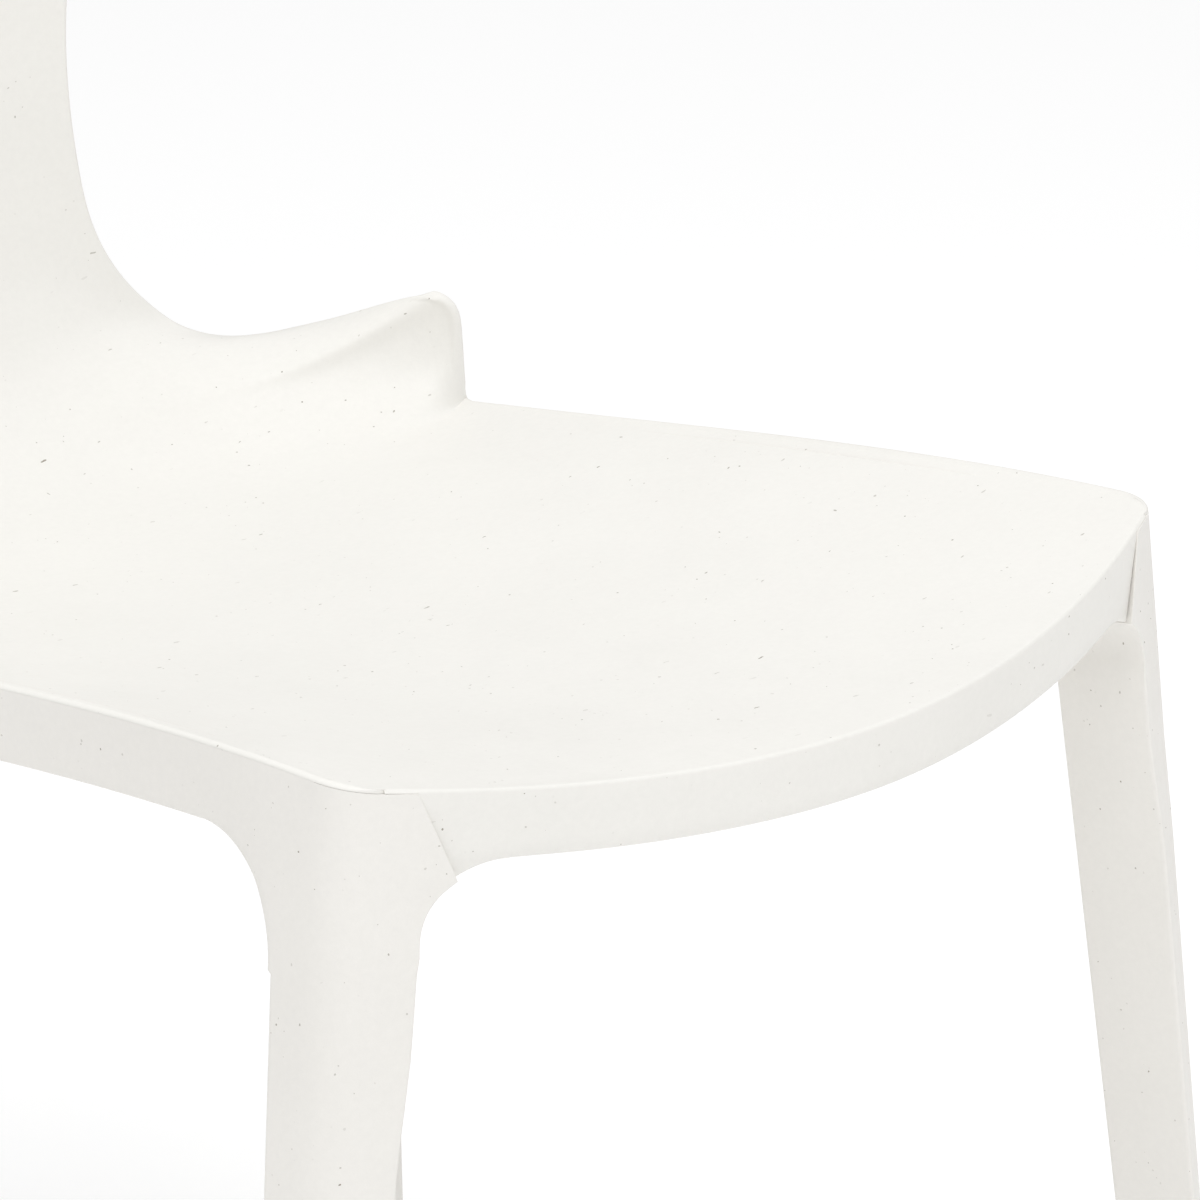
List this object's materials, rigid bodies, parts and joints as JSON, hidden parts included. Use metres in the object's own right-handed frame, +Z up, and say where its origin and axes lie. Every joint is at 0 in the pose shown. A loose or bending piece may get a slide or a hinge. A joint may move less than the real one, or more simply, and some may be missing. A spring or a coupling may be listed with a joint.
{
  "type": "stacking chair",
  "caption": "Armless stacking chair: one moulded seat and back with small side wings, on two side leg frames tied and wedged under the seat.",
  "frame": {"origin": "on the floor, under the middle of the chair's outline", "axes": "+Z up, the chair faces -Y, +X to the right as seen by a viewer who faces +Y, which is the sitter's own left"},
  "size_m": [0.473, 0.5168, 0.81],
  "materials": {
    "shell": "satin",
    "frame": "satin",
    "wedge": "satin",
    "glide": "satin"
  },
  "bodies": {
    "root": {"seat_shell": "shell", "left_leg_frame": "frame", "right_leg_frame": "frame", "front_wedge": "wedge", "rear_wedge": "wedge", "front_left_glide": "glide", "front_right_glide": "glide", "rear_left_glide": "glide", "rear_right_glide": "glide"}
  },
  "joints": []
}
